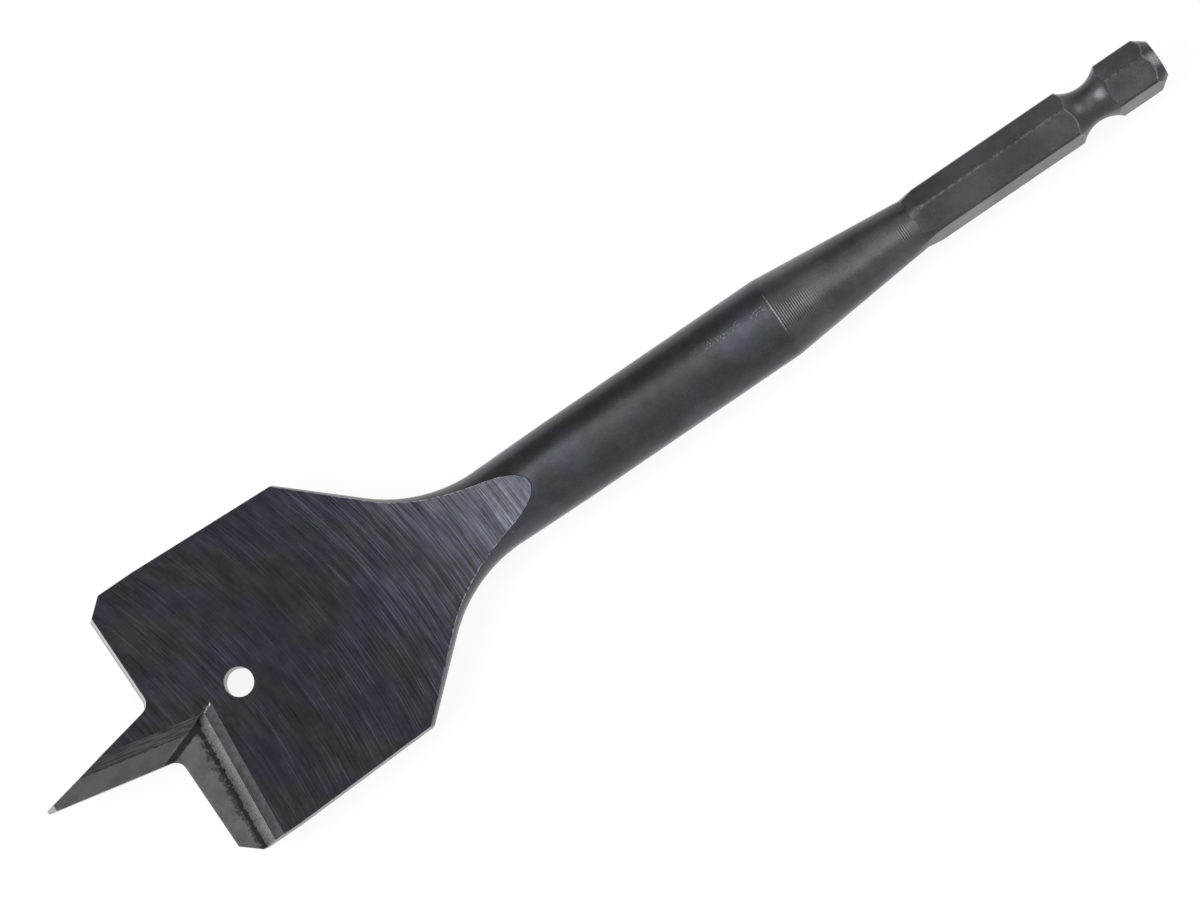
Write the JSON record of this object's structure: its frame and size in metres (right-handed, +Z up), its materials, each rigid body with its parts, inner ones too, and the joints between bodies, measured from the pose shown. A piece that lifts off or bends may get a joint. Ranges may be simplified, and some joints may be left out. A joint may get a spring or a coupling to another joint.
{
  "type": "spade drill bit",
  "caption": "Flat spade bit for boring wood: centre point, ground lips with gullets, blade with a hanging hole, round shaft, turned taper and grooved hex shank.",
  "frame": {"origin": "middle of the bit's length, on its axis in plan, at the level of the shaft's lowest line", "axes": "+X along the axis from the centre point to the shank, +Z up, square to the blade as the bit lies flat"},
  "size_m": [0.159, 0.036, 0.0105],
  "materials": {
    "black_steel": "blackened tool steel, forged and turned surfaces satin, blade faces ground with fine lines across"
  },
  "bodies": {
    "root": {"spade_bit": "black_steel"}
  },
  "joints": []
}
